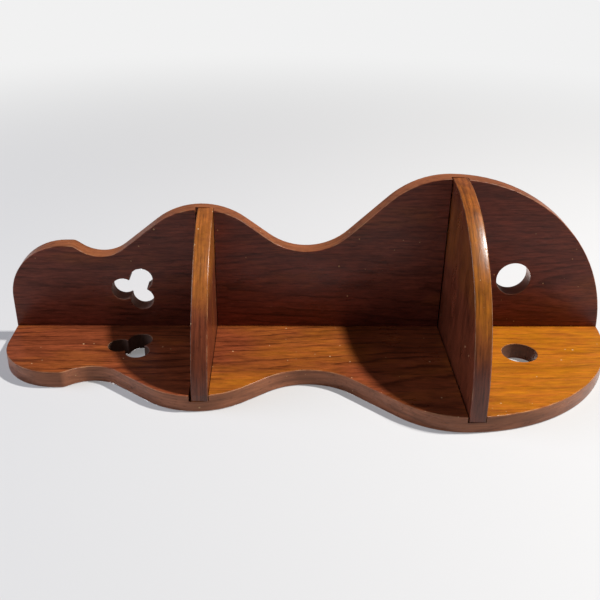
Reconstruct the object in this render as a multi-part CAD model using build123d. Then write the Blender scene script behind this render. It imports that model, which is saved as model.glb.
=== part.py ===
from build123d import *
from dataclasses import dataclass
from math import acos, atan2, cos, hypot, radians, sin
import os

# Corner wall shelf: two wavy side panels meet at a right angle, and two round-fronted shelves
# are let into grooves across both of them.
#
# Frame: the origin is the lower end of the line where the two back faces meet, which is the
# corner of the room. +Z runs up that line. The wide panel's back is the plane y = 0 and the
# narrow panel's back is the plane x = 0, so the shelf opens towards +X and -Y.

os.makedirs("parts", exist_ok=True)

# Boards
panel_thickness = 18.5
shelf_thickness = 16.8
panel_edge_ease = 1.0
shelf_edge_ease = 1.2
hole_edge_ease = 0.5

# Grooves that take the shelves, a little wider than the shelves are thick
groove_depth = 7.0
upper_groove_play_below = 0.6
upper_groove_play_above = 2.4
lower_groove_play_below = 0.2
lower_groove_play_above = 1.4

# Fronts of the shelves: how far they stop short of the lobes, and bow out between their ends
shelf_inset = 0.8
upper_shelf_bow = 30.5
lower_shelf_bow = 51.5

# Outline of a panel. A reach is measured out from the inner corner between the panels.
foot_flat = 12.0
lower_lobe_reach = 176.5
lower_lobe_radius = 95.0
waist_reach = 93.0
waist_radius = 67.0
waist_below_upper_lobe = 112.5
upper_lobe_reach = 141.0
upper_lobe_radius = 78.0
neck_depth = 12.0
neck_radius = 40.0
neck_drop = 33.0
top_lobe_reach = 98.0
top_lobe_radius = 10.0
top_side = 6.5
top_round_radius = 62.0

# Heights: the lower shelf's top face is level with the widest point of its lobe
lobe_spacing = 265.5
upper_shelf_rise = 3.7
head_height = 211.5

# Cut-outs, the same in both panels, but a little nearer the corner in the narrow one
hole_radius = 19.05
hole_reach = 60.5
hole_height = 104.3
trefoil_bit_radius = 12.7
trefoil_spread = 13.7
trefoil_reach = 46.2
trefoil_below_top = 135.8
narrow_panel_cut_outs_shift = -2.5

# Slotted countersunk wood screws, each made from its shank's diameter
board_screw_diameter = 4.2
board_screw_length = 38.0
board_screw_sunk = 0.4
plate_screw_diameter = 2.8
plate_screw_length = 12.0
plate_screw_sunk = 0.1
screw_play = 0.1
screw_head_per_shank = 1.95
screw_core_per_shank = 0.7
screw_rim_per_diameter = 0.08
screw_point_per_diameter = 1.2
screw_slot_width_per_diameter = 0.26
screw_slot_depth_per_diameter = 0.28
screw_plain_share = 0.45
screw_turn = 67.0

# Places of the screws
corner_screw_bay_margin = 45.0
shelf_screw_clearance = 18.5
shelf_screw_edge_margin = 40.0

# Keyhole plates, let in flush near the top of each back
plate_length = 42.0
plate_width = 16.0
plate_thickness = 1.8
plate_corner_radius = 3.0
plate_sunk = 0.3
plate_play = 0.15
plate_screw_inset = 4.5
plate_clearance = 20.5
keyhole_entry_radius = 4.75
keyhole_slot_width = 5.0
keyhole_rise = 10.0
keyhole_pocket_play = 1.0
keyhole_pocket_depth = 9.5

# Worked out from the sizes above
foot_radius = lower_lobe_reach + panel_thickness - foot_flat
lower_lobe_height = foot_radius
upper_lobe_height = lower_lobe_height + lobe_spacing
panel_top = upper_lobe_height + head_height
waist_height = upper_lobe_height - waist_below_upper_lobe
trefoil_height = panel_top - trefoil_below_top
trefoil_crown = trefoil_height + trefoil_spread + trefoil_bit_radius
board_screw_reach = board_screw_length - panel_thickness

# Points nearer than this are one point
hair = 1e-3


# Each panel is drawn lying on its back: x is the reach, y the height, the inner face is z = 0
# and the back is z = -panel_thickness. These two turn it up into its place.

def on_wide_panel(shape):
    stand = Plane(origin=(panel_thickness, -panel_thickness, 0), x_dir=(1, 0, 0), z_dir=(0, -1, 0))
    return stand.location * shape


def on_narrow_panel(shape):
    """The mirror image of the same thing on the wide panel: x and -y change places."""
    return mirror(on_wide_panel(shape), about=Plane(origin=(0, 0, 0), z_dir=(1, 1, 0)))


def on_both_panels(shapes):
    return [place(shape) for place in (on_wide_panel, on_narrow_panel) for shape in shapes]


def turned(points):
    """Solid of revolution about z from (radius, z) points that start and end on the axis."""
    outline = Polyline(*[(radius, 0, z) for radius, z in points], close=True)
    return revolve(make_face(outline), axis=Axis.Z)


def arc_about(centre, radius, start, end):
    def at(angle):
        return (centre[0] + radius * cos(angle), centre[1] + radius * sin(angle))
    return ThreePointArc(at(start), at((start + end) / 2), at(end))


def ease_arrises(board, radius, hidden_side):
    """Rounds the edges of a board's two faces, but for straight sides at x or y = hidden_side."""
    faces = board.faces().sort_by(Axis.Z)
    arrises = [edge for face in (faces[0], faces[-1]) for edge in face.edges()]
    middles = [edge @ 0.5 for edge in arrises]
    shown = [edge for edge, at in zip(arrises, middles) if min(at.X, at.Y) > hidden_side + hair]
    return fillet(shown, radius)


# The wavy edge is a chain of lobes and hollows, joined by straight flanks

@dataclass
class Bend:
    """One round of the wavy edge: a lobe that bulges out, or a hollow."""
    height: float
    reach: float
    radius: float
    is_lobe: bool

    def centre(self):
        side = -1 if self.is_lobe else 1
        return (self.reach + side * self.radius, self.height)

    def arc(self, start, end):
        return arc_about(self.centre(), self.radius, start, end)


def wavy_bends():
    """The bends from the top down: lobe, hollow, lobe, hollow, lobe."""
    top_lobe_height = panel_top - top_round_radius - top_side
    return [
        Bend(top_lobe_height, top_lobe_reach, top_lobe_radius, True),
        Bend(top_lobe_height - neck_drop, top_lobe_reach - neck_depth, neck_radius, False),
        Bend(upper_lobe_height, upper_lobe_reach, upper_lobe_radius, True),
        Bend(waist_height, waist_reach, waist_radius, False),
        Bend(lower_lobe_height, lower_lobe_reach, lower_lobe_radius, True),
    ]


def fit_radii(bends):
    """Shrinks the radii of neighbours that are too large to reverse into each other.

    Two arcs that do so over a given run and depth have radii that add up to at most
    (run squared + depth squared) / (2 depth).
    """
    shares = [1.0] * len(bends)
    for i, (one, other) in enumerate(zip(bends, bends[1:])):
        run = one.height - other.height
        depth = abs(one.reach - other.reach)
        share = (run ** 2 + depth ** 2) / (2 * depth) / (one.radius + other.radius)
        shares[i] = min(shares[i], share)
        shares[i + 1] = min(shares[i + 1], share)
    for bend, share in zip(bends, shares):
        bend.radius *= share
    return bends


def flank_angle(lobe, hollow):
    """Direction from the lobe's centre to where the straight flank touches the lobe."""
    (lobe_x, lobe_y), (hollow_x, hollow_y) = lobe.centre(), hollow.centre()
    apart = hypot(hollow_x - lobe_x, hollow_y - lobe_y)
    towards = atan2(hollow_y - lobe_y, hollow_x - lobe_x)
    opening = acos(min(1.0, (lobe.radius + hollow.radius) / apart))
    return towards + opening if hollow_y < lobe_y else towards - opening


def wavy_arcs():
    """Every arc of the wavy edge, from the rounded top corner down to the foot."""
    bends = fit_radii(wavy_bends())
    lobes, hollows = bends[0::2], bends[1::2]
    quarter_turn, half_turn = radians(90), radians(180)
    round_centre = (top_lobe_reach - top_round_radius, panel_top - top_round_radius)
    arcs, arrive = [arc_about(round_centre, top_round_radius, quarter_turn, 0)], 0
    for upper, hollow, lower in zip(lobes, hollows, lobes[1:]):
        leave = flank_angle(upper, hollow)
        arcs.append(upper.arc(arrive, leave))
        arrive = flank_angle(lower, hollow)
        arcs.append(hollow.arc(leave + half_turn, arrive + half_turn))
    arcs.append(lobes[-1].arc(arrive, 0))
    foot_centre = (lower_lobe_reach - foot_radius, foot_radius)
    arcs.append(arc_about(foot_centre, foot_radius, 0, -quarter_turn))
    return arcs


def straight(start, end):
    """A line from one point to the other, or nothing where two arcs meet in one point."""
    return [Line(start, end)] if (Vector(end) - Vector(start)).length > hair else []


def panel_outline():
    """The wavy edge closed by the flat top, the straight back edge and the flat foot."""
    back_top, back_foot = (-panel_thickness, panel_top), (-panel_thickness, 0)
    edges, pen = [], back_top
    for arc in wavy_arcs():
        edges += straight(pen, arc @ 0) + [arc]
        pen = arc @ 1
    return make_face(edges + straight(pen, back_foot) + [Line(back_foot, back_top)])


# Cut-outs, bored from both faces, so that every mouth is eased

def bored(radius):
    mouth = radius + hole_edge_ease
    return turned([
        (0, 0),
        (mouth, 0),
        (radius, -hole_edge_ease),
        (radius, hole_edge_ease - panel_thickness),
        (mouth, -panel_thickness),
        (0, -panel_thickness),
    ])


def trefoil():
    """Three holes round a fourth that clears the middle, one of them straight up."""
    leaves = PolarLocations(trefoil_spread, 3, start_angle=90)
    middle = Pos(trefoil_reach, trefoil_height)
    return [middle * spot * bored(trefoil_bit_radius) for spot in [Pos(0, 0), *leaves]]


def round_hole():
    return [Pos(hole_reach, hole_height) * bored(hole_radius)]


# Screws

@dataclass
class WoodScrew:
    """A screw driven into a panel's back, drawn with its head at z = 0 and its point up z."""
    diameter: float
    length: float
    sunk: float

    def turned_body(self, play, top):
        shank = self.diameter / 2
        head = shank * screw_head_per_shank
        core = shank * screw_core_per_shank
        rim = self.diameter * screw_rim_per_diameter
        plain_end = self.length * screw_plain_share
        point = self.length - self.diameter * screw_point_per_diameter
        return turned([
            (0, top),
            (head + play, top),
            (head + play, rim),
            (shank + play, rim + head - shank),
            (shank + play, plain_end),
            (core + play, plain_end + shank - core),
            (core + play, point),
            (0, self.length + play),
        ])

    def body(self):
        slot_width = self.diameter * screw_slot_width_per_diameter
        slot_depth = self.diameter * screw_slot_depth_per_diameter
        slot_length = 2 * self.diameter * screw_head_per_shank
        return self.turned_body(0, 0) - Box(slot_length, slot_width, 2 * slot_depth)

    def at(self, spot):
        return Pos(spot[0], spot[1], self.sunk - panel_thickness)

    def screws(self, spots):
        """A screw at each spot, each stopped with its slot at another angle."""
        return [self.at(spot) * Rot(0, 0, i * screw_turn) * self.body() for i, spot in enumerate(spots)]

    def holes(self, spots):
        return [self.at(spot) * self.turned_body(screw_play, -self.sunk) for spot in spots]


board_screw = WoodScrew(board_screw_diameter, board_screw_length, board_screw_sunk)
plate_screw = WoodScrew(plate_screw_diameter, plate_screw_length, plate_sunk + plate_screw_sunk)


# Shelves

@dataclass
class Shelf:
    """A round-fronted board whose two straight sides sit in grooves across the panels."""
    top: float
    lobe_reach: float
    bow: float
    play_below: float
    play_above: float

    def front_reach(self):
        return self.lobe_reach - shelf_inset

    def bottom(self):
        return self.top - shelf_thickness

    def groove(self):
        """What a panel loses to it, from its square corner out past the wavy edge."""
        length = self.lobe_reach + 2 * groove_depth
        height = self.play_below + shelf_thickness + self.play_above
        inner_end = Pos(-groove_depth, self.bottom() - self.play_below, -groove_depth)
        return inner_end * Box(length, height, 2 * groove_depth, align=Align.MIN)

    def screw_spots(self):
        """Its screws start clear of the points of those that come through the other panel."""
        first = board_screw_reach + shelf_screw_clearance
        last = self.front_reach() - shelf_screw_edge_margin
        return [(reach, self.top - shelf_thickness / 2) for reach in (first, last)]

    def plan(self):
        """From below, with x and y as the reaches along the two panels."""
        front, corner = self.front_reach(), -groove_depth
        sides = Polyline((0, front), (corner, front), (corner, corner), (front, corner), (front, 0))
        middle = front / 2 + self.bow * sin(radians(45))
        return make_face([*sides.edges(), ThreePointArc((front, 0), (middle, middle), (0, front))])

    def board(self):
        corner = (panel_thickness, -panel_thickness, self.top)
        upside_down = Plane(origin=corner, x_dir=(1, 0, 0), z_dir=(0, 0, -1))
        blank = extrude(self.plan(), amount=shelf_thickness)
        placed = upside_down.location * ease_arrises(blank, shelf_edge_ease, -groove_depth)
        return placed - on_both_panels(board_screw.holes(self.screw_spots()))

    def screws(self):
        return on_both_panels(board_screw.screws(self.screw_spots()))


upper_shelf = Shelf(
    upper_lobe_height + upper_shelf_rise, upper_lobe_reach, upper_shelf_bow,
    upper_groove_play_below, upper_groove_play_above)
lower_shelf = Shelf(
    lower_lobe_height, lower_lobe_reach, lower_shelf_bow,
    lower_groove_play_below, lower_groove_play_above)
shelves = [upper_shelf, lower_shelf]


# Keyhole plates, midway between the trefoil and the flat top

plate_spot = (board_screw_reach + plate_clearance, (trefoil_crown + panel_top) / 2)
plate_screw_offset = plate_length / 2 - plate_screw_inset
plate_screw_spots = [(plate_spot[0], plate_spot[1] + side * plate_screw_offset) for side in (1, -1)]


def on_plate_spot(flat, depth, start=0.0):
    """Extrudes a drawing that is centred on the plate from the panel's back into the wood."""
    return Pos(*plate_spot, start - panel_thickness) * extrude(flat, amount=depth)


def plate_blank(play):
    corner_radius = plate_corner_radius + play
    return RectangleRounded(plate_width + 2 * play, plate_length + 2 * play, corner_radius)


def keyhole_plate():
    """The screw head enters below and is caught behind the slot that rises from there."""
    entry = Pos(0, -keyhole_rise / 2) * Circle(keyhole_entry_radius)
    slot = SlotCenterToCenter(keyhole_rise, keyhole_slot_width, rotation=90)
    drilled = on_plate_spot(plate_blank(0) - entry - slot, plate_thickness, plate_sunk)
    return drilled - plate_screw.holes(plate_screw_spots)


def keyhole_recess():
    """Room for the plate, and behind it for the head that it catches."""
    pocket_width = 2 * (keyhole_entry_radius + keyhole_pocket_play)
    pocket = SlotCenterToCenter(keyhole_rise, pocket_width, rotation=90)
    return [
        on_plate_spot(plate_blank(plate_play), plate_sunk + plate_thickness),
        on_plate_spot(pocket, keyhole_pocket_depth),
    ]


# Side panels

def corner_screw_spots():
    """Two in each bay between the foot, the shelves and the top, along the narrow panel's edge."""
    floors = [0, lower_shelf.top, upper_shelf.top]
    ceilings = [lower_shelf.bottom(), upper_shelf.bottom(), panel_top]
    heights = []
    for floor, ceiling in zip(floors, ceilings):
        heights += [floor + corner_screw_bay_margin, ceiling - corner_screw_bay_margin]
    return [(-panel_thickness / 2, height) for height in heights]


def side_panel(back_edge_reach, cut_outs_shift=0.0):
    """A panel whose straight back edge is at the given reach, still without corner holes."""
    board = extrude(panel_outline(), amount=-panel_thickness)
    board = ease_arrises(board, panel_edge_ease, -panel_thickness)
    back_edge = Plane(origin=(back_edge_reach, 0, 0), z_dir=(1, 0, 0))
    board = split(board, bisect_by=back_edge, keep=Keep.TOP)
    board -= [Pos(cut_outs_shift, 0) * bore for bore in round_hole() + trefoil()]
    board -= keyhole_recess()
    for shelf in shelves:
        board -= [shelf.groove(), *board_screw.holes(shelf.screw_spots())]
    return board - plate_screw.holes(plate_screw_spots)


wide_panel = side_panel(-panel_thickness)
narrow_panel = side_panel(0, narrow_panel_cut_outs_shift)
corner_holes = [on_wide_panel(hole) for hole in board_screw.holes(corner_screw_spots())]

nodes = {
    "wide_side_panel": [on_wide_panel(wide_panel) - corner_holes],
    "narrow_side_panel": [on_narrow_panel(narrow_panel) - corner_holes],
    "upper_shelf": [upper_shelf.board()],
    "lower_shelf": [lower_shelf.board()],
    "corner_screws": [on_wide_panel(screw) for screw in board_screw.screws(corner_screw_spots())],
    "upper_shelf_screws": upper_shelf.screws(),
    "lower_shelf_screws": lower_shelf.screws(),
    "wide_panel_keyhole_plate": [on_wide_panel(keyhole_plate())],
    "narrow_panel_keyhole_plate": [on_narrow_panel(keyhole_plate())],
    "keyhole_plate_screws": on_both_panels(plate_screw.screws(plate_screw_spots)),
}

for name, pieces in nodes.items():
    solids = [solid for piece in pieces for solid in piece.solids()]
    export_step(Compound(solids) if len(solids) > 1 else solids[0], f"parts/{name}.step")
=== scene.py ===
"""Corner wall shelf of stained, varnished boards, dressed for a portrait.

The frame is the shelf's own: z runs up the corner where its two side panels meet, x along the wide
panel and -y along the narrow one. In the portrait the shelf lies on the narrow panel's back, so the
plane x = 0 is the table and +x points up. All lengths are in metres.
"""
import logging
from dataclasses import dataclass, field
from enum import Enum

import bpy
from mathutils import Matrix, Vector

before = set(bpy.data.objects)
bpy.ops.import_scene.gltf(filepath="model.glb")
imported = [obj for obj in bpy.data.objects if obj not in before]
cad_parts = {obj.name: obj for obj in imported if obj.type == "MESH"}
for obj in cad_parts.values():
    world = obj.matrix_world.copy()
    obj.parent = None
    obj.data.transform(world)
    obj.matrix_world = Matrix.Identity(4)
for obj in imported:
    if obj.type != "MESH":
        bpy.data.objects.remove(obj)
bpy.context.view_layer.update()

log = logging.getLogger("corner_wall_shelf")

Colour = tuple[float, float, float]
Triple = tuple[float, float, float]
Socket = bpy.types.NodeSocket
Value = Socket | float

# Directions in the log that a board is cut from
ALONG: Triple = (1.0, 0.0, 0.0)
ACROSS: Triple = (0.0, 1.0, 0.0)
THROUGH: Triple = (0.0, 0.0, 1.0)


# Wiring of materials

@dataclass(frozen=True)
class Clouds:
    """A cloudy pattern of numbers about CLOUD_MEAN.

    Attributes:
        per_metre: How many clouds there are to a metre, in each of three directions.
        detail: How many finer layers of cloud are laid over it.
        roughness: How strong each finer layer is.
    """
    per_metre: Triple
    detail: float = 2.0
    roughness: float = 0.5


@dataclass(frozen=True)
class Ramp:
    """A range of numbers, and the range that it becomes.

    Attributes:
        low: Where the range starts.
        high: Where the range ends.
        to_low: What the start becomes.
        to_high: What the end becomes.
        ease: Whether the change starts and ends gently.
    """
    low: float
    high: float
    to_low: float = 0.0
    to_high: float = 1.0
    ease: bool = True


class NodeSketch:
    """Adds and joins the nodes of one material or world, one short call for each."""

    def __init__(self, owner: bpy.types.Material | bpy.types.World) -> None:
        """Clears the owner's node tree.

        Args:
            owner: The material or world to wire.
        """
        owner.use_nodes = True
        self.tree = owner.node_tree
        self.tree.nodes.clear()

    def add(self, kind: str, inputs: dict | None = None, **settings: object) -> bpy.types.Node:
        """Adds one node.

        Args:
            kind: Node type without its ShaderNode prefix.
            inputs: What each named or numbered input takes: a socket to join, or a value.
            settings: Properties of the node itself.

        Returns:
            The new node.
        """
        node = self.tree.nodes.new("ShaderNode" + kind)
        for name, setting in settings.items():
            setattr(node, name, setting)
        for name, value in (inputs or {}).items():
            self.feed(node.inputs[name], value)
        return node

    def feed(self, socket: Socket, value: object) -> None:
        """Joins a socket to another, or sets its own value.

        Args:
            socket: The input that is fed.
            value: An output socket, a number or a colour.
        """
        if isinstance(value, bpy.types.NodeSocket):
            self.tree.links.new(value, socket)
        elif socket.type == "RGBA" and len(value) == 3:
            socket.default_value = (*value, 1.0)
        else:
            socket.default_value = value

    def maths(self, operation: str, *terms: Value, clamp: bool = False) -> Socket:
        """Works out one number from numbers.

        Args:
            operation: Blender's name for the operation.
            terms: Its one, two or three terms.
            clamp: Whether the result is held between 0 and 1.

        Returns:
            The socket with the result.
        """
        node = self.add("Math", dict(enumerate(terms)), operation=operation, use_clamp=clamp)
        return node.outputs[0]

    def vector(self, operation: str, *terms: Socket | Triple) -> Socket:
        """Works out one vector from vectors, such as their sum."""
        node = self.add("VectorMath", dict(enumerate(terms)), operation=operation)
        return node.outputs["Vector"]

    def measure(self, operation: str, *terms: Socket | Triple) -> Socket:
        """Works out one number from vectors, such as their dot product."""
        node = self.add("VectorMath", dict(enumerate(terms)), operation=operation)
        return node.outputs["Value"]

    def parts(self, vector: Socket) -> dict[str, Socket]:
        """Takes a vector apart, into its X, Y and Z."""
        return dict(zip("XYZ", self.add("SeparateXYZ", {0: vector}).outputs))

    def joined(self, *parts: Value) -> Socket:
        """Joins three numbers into a vector, or a colour."""
        return self.add("CombineXYZ", dict(enumerate(parts))).outputs[0]

    def from_line(self, spot: Socket, middle: Triple, over: Triple) -> Socket:
        """Measures how far a place is from a straight line.

        Args:
            spot: The place.
            middle: A point that the line goes through.
            over: 1 for each direction that counts, and 0 for the one that the line runs in.

        Returns:
            The socket with the distance.
        """
        from_middle = self.vector("SUBTRACT", spot, middle)
        return self.measure("LENGTH", self.vector("MULTIPLY", from_middle, over))

    def clouds(self, spot: Socket, pattern: Clouds) -> Socket:
        """Looks up a cloudy pattern at a place.

        Args:
            spot: The place.
            pattern: The clouds.

        Returns:
            The socket with the pattern's number there.
        """
        inputs = {
            "Vector": self.vector("MULTIPLY", spot, pattern.per_metre),
            "Scale": 1.0,
            "Detail": pattern.detail,
            "Roughness": pattern.roughness,
        }
        return self.add("TexNoise", inputs).outputs["Fac"]

    def spread(self, value: Value, ramp: Ramp) -> Socket:
        """Maps a number by a ramp, and holds it between the ramp's two results.

        Args:
            value: What is mapped.
            ramp: The range that it is in, and the range that this becomes.

        Returns:
            The socket with the mapped number.
        """
        curve = "SMOOTHSTEP" if ramp.ease else "LINEAR"
        inputs = dict(enumerate((value, ramp.low, ramp.high, ramp.to_low, ramp.to_high)))
        return self.add("MapRange", inputs, interpolation_type=curve, clamp=True).outputs[0]

    def mix(self, share: Value, one: Socket | Colour, other: Socket | Colour,
            blend: str = "MIX") -> Socket:
        """Mixes two colours.

        Args:
            share: How much of the second colour shows.
            one: The first colour.
            other: The second colour.
            blend: How the second is laid over the first.

        Returns:
            The socket with the mixed colour.
        """
        node = self.add("Mix", data_type="RGBA", blend_type=blend)
        self.feed(node.inputs["Factor"], share)
        self.feed(node.inputs["A"], one)
        self.feed(node.inputs["B"], other)
        return node.outputs["Result"]

    def finish(self, shader: Socket) -> None:
        """Joins the last shader to a material output."""
        self.add("OutputMaterial", {"Surface": shader})


# The wood's pattern, along the grain, across it and through the board

CLOUD_MEAN = 0.5

RING_WANDER = Clouds((4.5, 15, 15), detail=1.5)
RING_WANDER_REACH = 0.030
RING_RIPPLE = Clouds((42, 120, 120), detail=3, roughness=0.6)
RING_RIPPLE_REACH = 0.0050
RING_DARKENS = Ramp(0.58, 0.90)
RING_ENDS = Ramp(0.90, 1.0, 1.0, 0.0)
RING_STRENGTH = Clouds((26, 95, 95), detail=3)
RING_STRENGTHS = Ramp(0.34, 0.60, 0.10, 1.0)

FACE_FIBRES = Clouds((50, 400, 400), detail=4, roughness=0.7)
RIM_FIBRES = Clouds((20, 20, 400), detail=4, roughness=0.7)
PORES = Clouds((60, 380, 380), detail=3, roughness=0.6)
PORES_SHOW = Ramp(0.55, 0.72)

CHIPS_PER_METRE = 105.0
CHIP_REACHES = Ramp(0.30, 1.0, 0.0, 0.125, ease=False)
CHIP_EDGE = Ramp(0.0, 0.020)
KNOCKS = Clouds((14, 14, 14), detail=1.0)
KNOCKS_BLEND = 0.16

ARRIS_SLANT = Ramp(0.2, 0.9)
ARRIS_WEAR_AND_GLINT = Clouds((60, 60, 60), detail=4, roughness=0.6)
ARRIS_WEAR_AND_GLINT_SHOWS = Ramp(0.40, 0.70)
# How far the arrises pale towards bare wood: rubbed wear and a painted highlight.
ARRIS_PALENESS = 0.45
ARRIS_WEAR = 0.9

# How squarely a surface faces through its board: less on a rim, more on a face
RIM_TURN, FACE_TURN = 0.45, 0.95
ON_FACES = Ramp(RIM_TURN, FACE_TURN)
FIBRES_TURN = Ramp(0.3, 0.8)
OFF_FACES = Ramp(0.4, 0.9, 1.0, 0.0)

STAIN = Clouds((9, 22, 22), detail=3, roughness=0.6)
STAIN_SWING = Ramp(0.30, 0.70, -0.16, 0.16)
YELLOWING = Clouds((35, 200, 200), detail=3, roughness=0.6)
YELLOWING_SHOWS = Ramp(0.10, 0.75)
AMBER_EDGE_BLEND = 0.030
# From a board's wall side, which stays russet, to its room side, which carries the amber patches
SHELTERED = Ramp(0.1, 0.9, 0.75, 0.0)
# How strongly rings and pores show, from amber to full russet stain
RINGS_IN_STAIN = Ramp(0.0, 1.0, 0.32, 1.0, ease=False)
PORES_IN_STAIN = Ramp(0.0, 1.0, 0.15, 0.50, ease=False)
RINGS_ON_RIM = 0.3
STREAKS = Ramp(0.30, 0.70, -0.46, 0.44, ease=False)
BLOTCHES = Clouds((8, 50, 50), detail=3, roughness=0.6)
BLOTCH_LEVELS = Ramp(0.32, 0.62, 0.80, 1.10)

VARNISH_RUBS = Clouds((18, 30, 30), detail=4, roughness=0.6)
VARNISH_ROUGHNESS = Ramp(0.30, 0.70, 0.26, 0.38)
VARNISH_IOR = 1.46
COAT_ROUGHNESS = 0.24
COAT_TO_GLOSS = 0.3
WORN_ROUGHNESS = 0.45
FIBRE_HEIGHT = 0.00004
PORE_HEIGHT = -0.00004
RING_HEIGHT = 0.00003
WORN_HEIGHT = -0.0001
HALF_SHELF = 0.0084


# Finishes

class BoardLay(Enum):
    """Which frame axes run along a board's grain, across its face and through its thickness."""
    WIDE_PANEL = "ZXY"
    NARROW_PANEL = "ZYX"
    SHELF = "XYZ"


@dataclass(frozen=True)
class CutOut:
    """Where a board is sawn or bored through.

    Attributes:
        along: Its middle along the board, from the frame's origin.
        across: Its middle across the board, from the frame's origin.
        reach: How far from its middle its walls are looked for.
        soaked: How much of the sawn wood's colour its walls have.
    """
    along: float
    across: float
    reach: float
    soaked: float = 1.0


@dataclass(frozen=True)
class AmberPatch:
    """A paler, amber stretch along a board, set where the key light falls: partly a paler stain,
    partly painted light.

    Attributes:
        middle: Its middle along the board, from the frame's origin.
        reach: How far from its middle it is at its full strength.
        end: How far from its middle it ends.
        strength: How much of the russet is lost.
        off_corner: How far across the board it starts, or 0 where it covers the whole width.
    """
    middle: float
    reach: float
    end: float
    strength: float = 1.0
    off_corner: float = 0.0


@dataclass(frozen=True)
class Grain:
    """What a board's colour and varnish are made from, as sockets of its material.

    Attributes:
        spot: The place in the log, as (along, across, through).
        face_turn: How squarely the surface faces through the board's thickness.
        rings: How dark the growth ring is.
        fibres: How pale the fine streak is, about CLOUD_MEAN.
        flecks: How dark the soaked dash is.
    """
    spot: Socket
    face_turn: Socket
    rings: Socket
    fibres: Socket
    flecks: Socket


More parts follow.
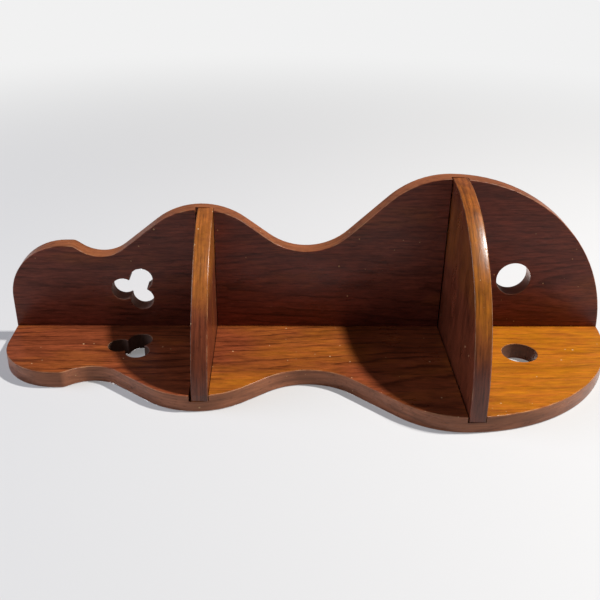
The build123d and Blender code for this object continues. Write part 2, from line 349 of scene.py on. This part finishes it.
@dataclass(frozen=True)
class StainedWood:
    """Wood under a reddish brown stain and a worn satin varnish.

    Attributes:
        name: The material's name.
        lay: How the board lies in the frame.
        cut_from: Where in the log the frame's origin is, which gives each board its own figure.
        pith_across: Where the log's pith is, across the board.
        pith_depth: Where the log's pith is, through the board.
        amber_patches: The paler amber patches, partly painted light where the key falls and russet
            left where shade falls.
        cut_outs: The places that are sawn or bored through.
        room_face: How far through the board the face is that carries the amber patches, or 0 for
            both.
        redder_faces: How much redder the faces are than the rims.
        gloss: The varnish's specular level.
        rim_share: How much of the rim colour shows on the rims.
        rim_middle: The middle of the rim, through the board.
        rim_crown: How far sanding has lowered the rim's two arrises, or 0 for a flat rim.
        rim_streaks: How strong the streaks on the rims are.
        knocks_from: From where in the KNOCKS clouds the board has chips.
        amber_streaks: How strong the streaks are where the colour is amber rather than russet.
        taper: How much the rings widen along the log.
        ring_pitch: How far apart the rings are.
        figure: How strong the rings are on the faces.
        amber: The palest, most yellow colour.
        honey: The less yellow of the two pale colours.
        russet: The full stain.
        latewood: The dark of rings and soaked pores.
        rim: The rims' colour: their own colour with painted sheen and painted fill light mixed in.
        sawn: The walls of the cut-outs: stain-soaked end grain with painted shade; the wide panel's
            paler one is painted light.
        bare: Wood without stain, in chips, and the colour that arrises pale towards as rubbed wear
            and a painted highlight.
    """
    name: str
    lay: BoardLay
    cut_from: Triple
    pith_across: float
    pith_depth: float
    amber_patches: tuple[AmberPatch, ...]
    cut_outs: tuple[CutOut, ...] = ()
    room_face: float = 0.0
    redder_faces: float = 0.0
    gloss: float = 0.22
    rim_share: float = 0.65
    rim_middle: float = 0.0
    rim_crown: float = 0.0
    rim_streaks: float = 0.7
    knocks_from: float = 0.38
    amber_streaks: float = 1.0
    taper: float = 0.035
    ring_pitch: float = 0.0060
    figure: float = 0.62
    amber: Colour = (0.400, 0.137, 0.0035)
    honey: Colour = (0.383, 0.100, 0.0104)
    russet: Colour = (0.183, 0.042, 0.0145)
    latewood: Colour = (0.060, 0.0116, 0.0046)
    # Greyer and paler than the faces: painted sheen on the rims' own colour.
    rim: Colour = (0.249, 0.090, 0.031)
    # Darker than the faces: stain-soaked end grain and painted shade in the holes.
    sawn: Colour = (0.110, 0.060, 0.042)
    bare: Colour = (0.522, 0.302, 0.151)

    def build(self) -> bpy.types.Material:
        """Wires the wood as a solid pattern, so that faces, rims and end grain agree.

        Returns:
            The material.
        """
        material = bpy.data.materials.new(self.name)
        sketch = NodeSketch(material)
        spot, face_turn = self._board_axes(sketch)
        grain = Grain(spot, face_turn, self._rings(sketch, spot),
                      self._fibres(sketch, spot, face_turn), self._flecks(sketch, spot))
        chips = self._chips(sketch, spot)
        arris = self._arris(sketch, spot, face_turn)
        sawn = self._sawn(sketch, spot, face_turn)
        colour = self._colour(sketch, grain)
        # Paler arrises: rubbed wear and a painted highlight along them.
        colour = sketch.mix(sketch.maths("MULTIPLY", arris, ARRIS_PALENESS), colour, self.bare)
        colour = sketch.mix(chips, colour, self.bare)
        # Cut-out walls take the sawn colour: stain-soaked end grain plus painted shade, and on the
        # wide panel painted light instead.
        colour = sketch.mix(sawn, colour, self.sawn)
        worn = sketch.maths("MAXIMUM", chips, sawn)
        if not self.rim_crown:
            worn = sketch.maths("MAXIMUM", worn, sketch.maths("MULTIPLY", arris, ARRIS_WEAR))
        self._varnish(sketch, grain, colour, worn)
        return material

    def _board_axes(self, sketch: NodeSketch) -> tuple[Socket, Socket]:
        """Turns the frame's coordinates into the log's own.

        Args:
            sketch: The material's nodes.

        Returns:
            The place in the log as (along, across, through), and how squarely the surface faces
            through the board's thickness.
        """
        coordinates = sketch.add("TexCoord").outputs
        place = sketch.parts(coordinates["Object"])
        normal = sketch.parts(coordinates["Normal"])
        along, across, through = self.lay.value
        turned = sketch.joined(place[along], place[across], place[through])
        return (sketch.vector("ADD", turned, self.cut_from),
                sketch.maths("ABSOLUTE", normal[through]))

    def _rings(self, sketch: NodeSketch, spot: Socket) -> Socket:
        """Growth rings round a slightly tilted pith, dark at each ring's late side.

        Args:
            sketch: The material's nodes.
            spot: The place in the log.

        Returns:
            How dark the ring is there.
        """
        pith = (0.0, self.pith_across, self.pith_depth)
        radius = sketch.from_line(spot, pith, over=(0.0, 1.0, 1.0))
        widened = sketch.measure("DOT_PRODUCT", spot, (self.taper, 0.0, 0.0))
        distance = sketch.maths("ADD", radius, widened)
        for sway, reach in ((RING_WANDER, RING_WANDER_REACH), (RING_RIPPLE, RING_RIPPLE_REACH)):
            off_mean = sketch.maths("SUBTRACT", sketch.clouds(spot, sway), CLOUD_MEAN)
            distance = sketch.maths("MULTIPLY_ADD", off_mean, reach, distance)
        phase = sketch.maths("FRACT", sketch.maths("DIVIDE", distance, self.ring_pitch))
        band = sketch.maths("MULTIPLY", sketch.spread(phase, RING_DARKENS),
                            sketch.spread(phase, RING_ENDS))
        strength = sketch.spread(sketch.clouds(spot, RING_STRENGTH), RING_STRENGTHS)
        return sketch.maths("MULTIPLY", band, strength)

    def _fibres(self, sketch: NodeSketch, spot: Socket, face_turn: Socket) -> Socket:
        """Fine streaks that follow the grain on the faces and the length of the rims.

        Args:
            sketch: The material's nodes.
            spot: The place in the log.
            face_turn: How squarely the surface faces through the thickness.

        Returns:
            How pale the streak is, about CLOUD_MEAN.
        """
        on_face = sketch.clouds(spot, FACE_FIBRES)
        level = CLOUD_MEAN - CLOUD_MEAN * self.rim_streaks
        on_rim = sketch.clouds(spot, RIM_FIBRES)
        on_rim = sketch.maths("MULTIPLY_ADD", on_rim, self.rim_streaks, level)
        over_rim = sketch.maths("SUBTRACT", on_face, on_rim)
        return sketch.maths("MULTIPLY_ADD", over_rim, sketch.spread(face_turn, FIBRES_TURN), on_rim)

    def _flecks(self, sketch: NodeSketch, spot: Socket) -> Socket:
        """Short dark dashes along the grain where the stain has soaked in."""
        return sketch.spread(sketch.clouds(spot, PORES), PORES_SHOW)

    def _sawn(self, sketch: NodeSketch, spot: Socket, face_turn: Socket) -> Socket:
        """Walls of the cut-outs: rough, stain-soaked end grain whose colour also holds painted
        shade, and, where a board's sawn colour is pale, painted light.

        Args:
            sketch: The material's nodes.
            spot: The place in the log.
            face_turn: How squarely the surface faces through the thickness.

        Returns:
            How much of the sawn wood's colour shows there.
        """
        walls: Value = 0.0
        for cut_out in self.cut_outs:
            middle = (cut_out.along + self.cut_from[0], cut_out.across + self.cut_from[1], 0.0)
            distance = sketch.from_line(spot, middle, over=(1.0, 1.0, 0.0))
            near = sketch.maths("LESS_THAN", distance, cut_out.reach)
            near = sketch.maths("MULTIPLY", near, cut_out.soaked)
            walls = sketch.maths("MAXIMUM", walls, near)
        return sketch.maths("MULTIPLY", walls, sketch.spread(face_turn, OFF_FACES))

    def _chips(self, sketch: NodeSketch, spot: Socket) -> Socket:
        """Tiny chips in the varnish that show bare wood.

        Args:
            sketch: The material's nodes.
            spot: The place in the log.

        Returns:
            How bare the wood is there.
        """
        inputs = {"Vector": spot, "Scale": CHIPS_PER_METRE, "Randomness": 1.0}
        cells = sketch.add("TexVoronoi", inputs, feature="F1", distance="EUCLIDEAN").outputs
        reach = sketch.spread(sketch.parts(cells["Color"])["X"], CHIP_REACHES)
        knocks_show = Ramp(self.knocks_from, self.knocks_from + KNOCKS_BLEND)
        knocked = sketch.spread(sketch.clouds(spot, KNOCKS), knocks_show)
        reach = sketch.maths("MULTIPLY", reach, knocked)
        inside = sketch.maths("SUBTRACT", reach, cells["Distance"])
        return sketch.spread(inside, CHIP_EDGE)

    def _arris(self, sketch: NodeSketch, spot: Socket, face_turn: Socket) -> Socket:
        """Where the rounded arrises between faces and rims are worn and paler: rubbed varnish, and
        a painted highlight along them.

        Args:
            sketch: The material's nodes.
            spot: The place in the log.
            face_turn: How squarely the surface faces through the thickness.

        Returns:
            How worn the arris is there, which also sets where it is painted paler as a highlight.
        """
        square = sketch.maths("MULTIPLY", face_turn, face_turn)
        rest = sketch.maths("SUBTRACT", 1.0, square)
        # The product is largest half way between face and rim, where it is a quarter
        slant = sketch.maths("MULTIPLY", sketch.maths("MULTIPLY", square, rest), 4.0)
        patches = sketch.spread(sketch.clouds(spot, ARRIS_WEAR_AND_GLINT), ARRIS_WEAR_AND_GLINT_SHOWS)
        return sketch.maths("MULTIPLY", sketch.spread(slant, ARRIS_SLANT), patches)

    def _lost_russet(self, sketch: NodeSketch, spot: Socket, patch: AmberPatch) -> Socket:
        """How much of the russet gives way to amber in one patch: partly a paler stain, partly
        painted light.

        Args:
            sketch: The material's nodes.
            spot: The place in the log.
            patch: The amber patch.

        Returns:
            The share that is lost there.
        """
        away = sketch.maths("SUBTRACT", sketch.measure("DOT_PRODUCT", spot, ALONG),
                            self.cut_from[0] + patch.middle)
        away = sketch.maths("ABSOLUTE", away)
        lost = sketch.spread(away, Ramp(patch.reach, patch.end, patch.strength, 0.0))
        if not patch.off_corner:
            return lost
        out = sketch.maths("ABSOLUTE", sketch.measure("DOT_PRODUCT", spot, ACROSS))
        starts = Ramp(patch.off_corner - AMBER_EDGE_BLEND, patch.off_corner + AMBER_EDGE_BLEND)
        return sketch.maths("MULTIPLY", lost, sketch.spread(out, starts))

    def _russet_share(self, sketch: NodeSketch, grain: Grain) -> Socket:
        """How much of the full russet stain shows, against the amber patches.

        Args:
            sketch: The material's nodes.
            grain: The board's grain.

        Returns:
            The russet's share there, between 0 and 1.
        """
        share: Value = 1.0
        for patch in self.amber_patches:
            lost = self._lost_russet(sketch, grain.spot, patch)
            share = sketch.maths("MINIMUM", share, sketch.maths("SUBTRACT", 1.0, lost))
        if self.room_face:
            to_room = (0.0, 0.0, 1.0 / self.room_face)
            towards_room = sketch.measure("DOT_PRODUCT", grain.spot, to_room)
            share = sketch.maths("MAXIMUM", share, sketch.spread(towards_room, SHELTERED))
        faces = sketch.spread(grain.face_turn, ON_FACES)
        share = sketch.maths("MULTIPLY_ADD", faces, self.redder_faces, share)
        swing = sketch.spread(sketch.clouds(grain.spot, STAIN), STAIN_SWING)
        return sketch.maths("ADD", share, swing, clamp=True)

    def _streaks(self, sketch: NodeSketch, grain: Grain, share: Socket) -> Socket:
        """Pale and dark streaks and blotches.

        Args:
            sketch: The material's nodes.
            grain: The board's grain.
            share: How much of the full stain is left.

        Returns:
            The grey that the colour is multiplied by.
        """
        streak = sketch.spread(grain.fibres, STREAKS)
        contrast = sketch.spread(share, Ramp(0.0, 1.0, self.amber_streaks, 1.0, ease=False))
        streak = sketch.maths("MULTIPLY_ADD", streak, contrast, 1.0)
        blotches = sketch.spread(sketch.clouds(grain.spot, BLOTCHES), BLOTCH_LEVELS)
        streak = sketch.maths("MULTIPLY", streak, blotches)
        return sketch.joined(streak, streak, streak)

    def _colour(self, sketch: NodeSketch, grain: Grain) -> Socket:
        """The stained wood's colour under sound varnish.

        Args:
            sketch: The material's nodes.
            grain: The board's grain.

        Returns:
            The socket with the colour.
        """
        share = self._russet_share(sketch, grain)
        yellow = sketch.spread(sketch.clouds(grain.spot, YELLOWING), YELLOWING_SHOWS)
        colour = sketch.mix(yellow, self.honey, self.amber)
        colour = sketch.mix(share, colour, self.russet)
        # The rim colour carries painted sheen and painted fill light.
        rims = sketch.spread(grain.face_turn, Ramp(RIM_TURN, FACE_TURN, self.rim_share, 0.0))
        colour = sketch.mix(rims, colour, self.rim)
        figure = Ramp(RIM_TURN, FACE_TURN, RINGS_ON_RIM, self.figure)
        depth = sketch.maths("MULTIPLY", sketch.spread(grain.face_turn, figure),
                             sketch.spread(share, RINGS_IN_STAIN))
        colour = sketch.mix(sketch.maths("MULTIPLY", grain.rings, depth), colour, self.latewood)
        soaked = sketch.maths("MULTIPLY", grain.flecks, sketch.spread(share, PORES_IN_STAIN))
        colour = sketch.mix(soaked, colour, self.latewood)
        return sketch.mix(1.0, colour, self._streaks(sketch, grain, share), "MULTIPLY")

    def _varnish(self, sketch: NodeSketch, grain: Grain, colour: Socket, worn: Socket) -> None:
        """Satin varnish over the colour, sunk a little into the pores and gone where it is worn.

        Args:
            sketch: The material's nodes.
            grain: The board's grain.
            colour: The wood's colour.
            worn: How far the varnish is gone.
        """
        rub = sketch.clouds(grain.spot, VARNISH_RUBS)
        roughness = sketch.spread(rub, VARNISH_ROUGHNESS)
        roughness = sketch.maths("MULTIPLY_ADD", worn, WORN_ROUGHNESS, roughness, clamp=True)
        relief = sketch.maths("MULTIPLY", grain.flecks, PORE_HEIGHT)
        relief = sketch.maths("MULTIPLY_ADD", grain.fibres, FIBRE_HEIGHT, relief)
        relief = sketch.maths("MULTIPLY_ADD", grain.rings, RING_HEIGHT, relief)
        relief = sketch.maths("MULTIPLY_ADD", worn, WORN_HEIGHT, relief)
        if self.rim_crown:
            relief = sketch.maths("ADD", relief, self._crown(sketch, grain.spot))
        bump = sketch.add("Bump", {"Height": relief, "Strength": 1.0, "Distance": 1.0})
        coat = Ramp(0.0, 1.0, COAT_TO_GLOSS * self.gloss, 0.0)
        shader = sketch.add("BsdfPrincipled", {
            "Base Color": colour,
            "Roughness": roughness,
            "Normal": bump.outputs[0],
            "IOR": VARNISH_IOR,
            "Specular IOR Level": self.gloss,
            "Coat Weight": sketch.spread(worn, coat),
            "Coat Roughness": COAT_ROUGHNESS,
        })
        sketch.finish(shader.outputs[0])

    def _crown(self, sketch: NodeSketch, spot: Socket) -> Socket:
        """How far sanding has lowered the rim there, from its middle out to its two arrises.

        Args:
            sketch: The material's nodes.
            spot: The place in the log.

        Returns:
            The height over the rim's middle, which is 0 or less.
        """
        through = sketch.measure("DOT_PRODUCT", spot, THROUGH)
        off_middle = sketch.maths("SUBTRACT", through, self.rim_middle)
        share = sketch.maths("DIVIDE", off_middle, HALF_SHELF)
        return sketch.maths("MULTIPLY", sketch.maths("MULTIPLY", share, share), -self.rim_crown)


@dataclass(frozen=True)
class DullZinc:
    """Zinc plated steel that has gone dull, with faint scratches.

    Attributes:
        name: The material's name.
        colour: The plating where it is clean.
        tarnish: The plating where it has gone dull.
        clouds: The pattern of the tarnish.
        tarnish_shows: From where in the clouds the plating is dull.
        roughness: How rough the plating is, by the clouds.
        scratches: The pattern of the scratches.
        scratch_strength: How strongly the scratches show.
        scratch_depth: How deep the scratches are.
        metallic: How far it looks like metal rather than like paint.
    """
    name: str
    colour: Colour = (0.55, 0.54, 0.51)
    tarnish: Colour = (0.30, 0.28, 0.25)
    clouds: Clouds = Clouds((350, 350, 350), detail=4, roughness=0.6)
    tarnish_shows: Ramp = Ramp(0.40, 0.68)
    roughness: Ramp = Ramp(0.35, 0.70, 0.34, 0.55)
    scratches: Clouds = Clouds((2600, 2600, 500), detail=2)
    scratch_strength: float = 0.25
    scratch_depth: float = 0.00004
    metallic: float = 0.85

    def build(self) -> bpy.types.Material:
        """Wires the metal.

        Returns:
            The material.
        """
        material = bpy.data.materials.new(self.name)
        sketch = NodeSketch(material)
        place = sketch.add("TexCoord").outputs["Object"]
        clouds = sketch.clouds(place, self.clouds)
        dull = sketch.spread(clouds, self.tarnish_shows)
        bump = sketch.add("Bump", {
            "Height": sketch.clouds(place, self.scratches),
            "Strength": self.scratch_strength,
            "Distance": self.scratch_depth,
        })
        shader = sketch.add("BsdfPrincipled", {
            "Base Color": sketch.mix(dull, self.colour, self.tarnish),
            "Roughness": sketch.spread(clouds, self.roughness),
            "Metallic": self.metallic,
            "Normal": bump.outputs[0],
        })
        sketch.finish(shader.outputs[0])
        return material


@dataclass(frozen=True)
class TablePaint:
    """Plain pale table top, seen from its front alone, that pales into the room far off.

    Attributes:
        name: The material's name.
        colour: The paint.
        roughness: How rough the paint is.
        glow: The room's colour, which the table takes on far off.
        middle: Where the table has least of the room's colour.
        near_reach: How far from the middle it starts to pale.
        far_reach: How far from the middle it is the room's colour alone.
        near_share: How much of the room's colour it has at the middle.
    """
    name: str
    colour: Colour = (0.58, 0.58, 0.58)
    roughness: float = 0.6
    glow: Colour = (0.88, 0.88, 0.88)
    middle: Triple = (0.0, -0.1, 0.33)
    near_reach: float = 0.50
    far_reach: float = 1.8
    near_share: float = 0.22

    def build(self) -> bpy.types.Material:
        """Wires the table top, clear to a camera that looks from behind it.

        Returns:
            The material.
        """
        material = bpy.data.materials.new(self.name)
        sketch = NodeSketch(material)
        paint = sketch.add("BsdfPrincipled", {
            "Base Color": self.colour,
            "Roughness": self.roughness,
        })
        glow = sketch.add("Emission", {"Color": self.glow})
        clear = sketch.add("BsdfTransparent")
        place = sketch.add("TexCoord").outputs["Object"]
        distance = sketch.measure("DISTANCE", place, self.middle)
        far = sketch.spread(distance, Ramp(self.near_reach, self.far_reach, self.near_share, 1.0))
        far = sketch.maths("MULTIPLY", far, sketch.add("LightPath").outputs["Is Camera Ray"])
        front = sketch.add("MixShader", {0: far, 1: paint.outputs[0], 2: glow.outputs[0]})
        behind = sketch.add("NewGeometry").outputs["Backfacing"]
        sides = sketch.add("MixShader", {0: behind, 1: front.outputs[0], 2: clear.outputs[0]})
        sketch.finish(sides.outputs[0])
        return material


WIDE_PANEL_WOOD = StainedWood(
    name="wood_wide_panel",
    lay=BoardLay.WIDE_PANEL,
    cut_from=(0.31, 0.0, 0.0),
    pith_across=0.07,
    pith_depth=-0.045,
    amber_patches=(AmberPatch(middle=0.0, reach=0.0, end=0.12, strength=0.1),),
    cut_outs=(CutOut(along=0.1043, across=0.0790, reach=0.0200, soaked=0.60),
              CutOut(along=0.5242, across=0.0647, reach=0.0275)),
    # Blue raised above the other boards' russet: painted sheen, a bluish veil over the panel's
    # shaded face.
    russet=(0.180, 0.041, 0.0225),
    # Pale cut-out walls: painted light from the bright room behind the holes.
    sawn=(0.240, 0.135, 0.100),
)
NARROW_PANEL_WOOD = StainedWood(
    name="wood_narrow_panel",
    lay=BoardLay.NARROW_PANEL,
    cut_from=(1.47, 0.0, 0.0),
    pith_across=-0.16,
    pith_depth=-0.060,
    # Amber where the key lights the lying face, russet where the shelves' shade falls: partly
    # painted light and shade.
    amber_patches=(AmberPatch(middle=0.08, reach=0.06, end=0.115),
           AmberPatch(middle=0.345, reach=0.02, end=0.095, strength=0.30),
           AmberPatch(middle=0.375, reach=0.065, end=0.085, strength=0.7, off_corner=0.115)),
    cut_outs=(CutOut(along=0.1043, across=-0.0765, reach=0.0200, soaked=0.70),
              CutOut(along=0.5242, across=-0.0622, reach=0.0275)),
    room_face=0.0185,
    rim_share=0.88,
    knocks_from=0.30,
    amber_streaks=0.6,
    ring_pitch=0.0085,
    figure=0.88,
    amber=(0.400, 0.137, 0.0055),
    # Paler, greyer rims than the faces: painted fill light and painted sheen on the rims' own
    # colour.
    rim=(0.300, 0.114, 0.057),
)
UPPER_SHELF_WOOD = StainedWood(
    name="wood_upper_shelf",
    lay=BoardLay.SHELF,
    cut_from=(2.63, 0.0, 0.0),
    pith_across=-0.05,
    pith_depth=0.60,
    # Amber on the lit middle of the front, russet towards its shaded bottom: partly painted light
    # and shade.
    amber_patches=(AmberPatch(middle=0.132, reach=0.008, end=0.050),),
    gloss=0.42,
    rim_share=0.0,
    rim_middle=0.4438,
    rim_crown=0.0008,
    rim_streaks=1.2,
    amber=(0.360, 0.118, 0.0170),
    honey=(0.335, 0.098, 0.0210),
    russet=(0.142, 0.034, 0.0130),
)
LOWER_SHELF_WOOD = StainedWood(
    name="wood_lower_shelf",
    lay=BoardLay.SHELF,
    cut_from=(3.79, 0.0, 0.0),
    pith_across=-0.09,
    pith_depth=0.60,
    # Amber on the lit middle of the front, russet towards its shaded bottom: partly painted light
    # and shade.
    amber_patches=(AmberPatch(middle=0.142, reach=0.012, end=0.088),),
    redder_faces=0.7,
    gloss=0.40,
    rim_share=0.0,
    rim_middle=0.1746,
    rim_crown=0.0008,
    rim_streaks=1.5,
    amber=(0.275, 0.088, 0.0055),
    honey=(0.256, 0.073, 0.0090),
    russet=(0.147, 0.035, 0.0157),
)
SCREW_ZINC = DullZinc("zinc_screws")
PLATE_ZINC = DullZinc("zinc_plates", colour=(0.60, 0.59, 0.56))


# Pieces of the shelf

def cover(piece: bpy.types.Object, material: bpy.types.Material) -> None:
    """Puts one material on every slot of a piece.

    Args:
        piece: The piece to cover.
        material: Its new material.
    """
    if not piece.material_slots:
        piece.data.materials.append(material)
    for slot in piece.material_slots:
        slot.material = material


@dataclass
class Board:
    """One sawn board: a side panel or a shelf."""
    node: str
    finish: StainedWood

    def dress(self) -> list[bpy.types.Object]:
        """Gives the board its finish.

        Returns:
            The board's object, alone in a list.
        """
        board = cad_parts[self.node]
        cover(board, self.finish.build())
        return [board]


@dataclass
class Ironmongery:
    """Screws or hanger plates, all in one metal."""
    nodes: tuple[str, ...]
    finish: DullZinc

    def dress(self) -> list[bpy.types.Object]:
        """Gives each piece its metal.

        Returns:
            The pieces' objects.
        """
        metal = self.finish.build()
        pieces = [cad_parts[node] for node in self.nodes]
        for piece in pieces:
            cover(piece, metal)
        return pieces


# Studio

@dataclass
class Table:
    """The pale surface that the shelf lies on, just under the narrow panel's back."""
    finish: TablePaint
    half_width: float = 6.0
    gap: float = 0.0003

    def build(self) -> bpy.types.Object:
        """Builds the table top as one face that looks along +x.

        Returns:
            The table's object.
        """
        reach = self.half_width
        square = ((-reach, -reach), (reach, -reach), (reach, reach), (-reach, reach))
        mesh = bpy.data.meshes.new("table")
        mesh.from_pydata([(-self.gap, y, z) for y, z in square], [], [(0, 1, 2, 3)])
        table = bpy.data.objects.new("table", mesh)
        bpy.context.scene.collection.objects.link(table)
        cover(table, self.finish.build())
        return table


@dataclass
class Lamp:
    """A round studio lamp aimed at the shelf."""
    name: str
    place: Vector
    target: Vector
    diameter: float
    power: float
    colour: Colour = (1.0, 1.0, 1.0)

    def build(self) -> bpy.types.Object:
        """Hangs the lamp and aims it.

        Returns:
            The lamp's object.
        """
        light = bpy.data.lights.new(self.name, "AREA")
        light.shape = "DISK"
        light.size = self.diameter
        light.energy = self.power
        light.color = self.colour
        lamp = bpy.data.objects.new(self.name, light)
        lamp.location = self.place
        lamp.rotation_euler = (self.target - self.place).to_track_quat("-Z", "Y").to_euler()
        bpy.context.scene.collection.objects.link(lamp)
        return lamp


def block_all_but(lamp: bpy.types.Object, seen_through: bpy.types.Object) -> None:
    """Lets a lamp shine through one object, which then casts no shadow from it.

    Args:
        lamp: The lamp.
        seen_through: What its light passes.
    """
    blockers = bpy.data.collections.new(lamp.name + "_shines_through")
    blockers.objects.link(seen_through)
    blockers.collection_objects[0].light_linking.link_state = "EXCLUDE"
    lamp.light_linking.blocker_collection = blockers


@dataclass
class RoomLight:
    """Even light from all round, and the pale room that the camera and the varnish see.

    Attributes:
        seen: The room's colour to the camera.
        strength: How much light the room gives the shelf.
        mirrored: The room's colour in the varnish.
    """
    seen: Colour = (0.90, 0.90, 0.90)
    strength: float = 0.07
    mirrored: Colour = (0.118, 0.088, 0.112)

    def build(self) -> None:
        """Wires the world."""
        world = bpy.data.worlds.new("room")
        bpy.context.scene.world = world
        sketch = NodeSketch(world)
        rays = sketch.add("LightPath").outputs
        clear = sketch.maths("MAXIMUM", rays["Is Camera Ray"], rays["Is Transmission Ray"])
        glossy = rays["Is Glossy Ray"]
        colour = sketch.mix(glossy, self.seen, self.mirrored)
        strength = sketch.maths("MAXIMUM", sketch.maths("MAXIMUM", clear, glossy), self.strength)
        background = sketch.add("Background", {"Color": colour, "Strength": strength})
        sketch.add("OutputWorld", {"Surface": background.outputs[0]})


@dataclass
class PortraitCamera:
    """The portrait's camera: level, above the lying shelf and tipped down to it, with +x up."""
    place: Vector = field(default_factory=lambda: Vector((0.4780, -0.8326, 0.3675)))
    right: Vector = field(default_factory=lambda: Vector((0.01572385, -0.02337321, -0.99960315)))
    up: Vector = field(default_factory=lambda: Vector((0.88590463, 0.46385714, 0.00308922)))
    lens: float = 49.2
    sensor: float = 36.0
    clip_start: float = 0.01
    clip_end: float = 50.0

    def build(self) -> bpy.types.Object:
        """Sets the camera up and makes it the scene's own.

        Returns:
            The camera's object.
        """
        camera = bpy.data.cameras.new("portrait")
        camera.lens = self.lens
        camera.sensor_width = self.sensor
        camera.clip_start = self.clip_start
        camera.clip_end = self.clip_end
        back = self.right.cross(self.up)
        turn = Matrix((self.right, self.up, back)).transposed().to_4x4()
        viewer = bpy.data.objects.new("portrait", camera)
        viewer.matrix_world = Matrix.Translation(self.place) @ turn
        bpy.context.scene.collection.objects.link(viewer)
        bpy.context.scene.camera = viewer
        return viewer


def main() -> None:
    """Dresses the shelf, then sets up the studio round it."""
    logging.basicConfig(level=logging.INFO, format="%(message)s")
    bpy.context.scene.view_settings.view_transform = "Standard"

    shelf = (
        Board("wide_side_panel", WIDE_PANEL_WOOD),
        Board("narrow_side_panel", NARROW_PANEL_WOOD),
        Board("upper_shelf", UPPER_SHELF_WOOD),
        Board("lower_shelf", LOWER_SHELF_WOOD),
        Ironmongery(("corner_screws", "upper_shelf_screws", "lower_shelf_screws",
                     "keyhole_plate_screws"), SCREW_ZINC),
        Ironmongery(("wide_panel_keyhole_plate", "narrow_panel_keyhole_plate"), PLATE_ZINC),
    )
    for assembly in shelf:
        for piece in assembly.dress():
            log.info("dressed %s", piece.name)

    table = Table(TablePaint("table_paint")).build()
    middle = Vector((0.07, -0.08, 0.33))
    Lamp("key", place=Vector((2.035, -0.010, -0.990)), target=middle, diameter=0.14, power=86.0,
         colour=(1.0, 0.98, 0.95)).build()
    Lamp("window", place=Vector((1.3, -0.1, 2.3)), target=middle, diameter=1.6, power=24.0,
         colour=(0.86, 0.93, 1.15)).build()
    back = Lamp("back", place=Vector((-1.5, 1.5, 0.9)), target=middle, diameter=1.2,
                power=52.0).build()
    block_all_but(back, table)
    RoomLight().build()
    PortraitCamera().build()


if __name__ == "__main__":
    main()
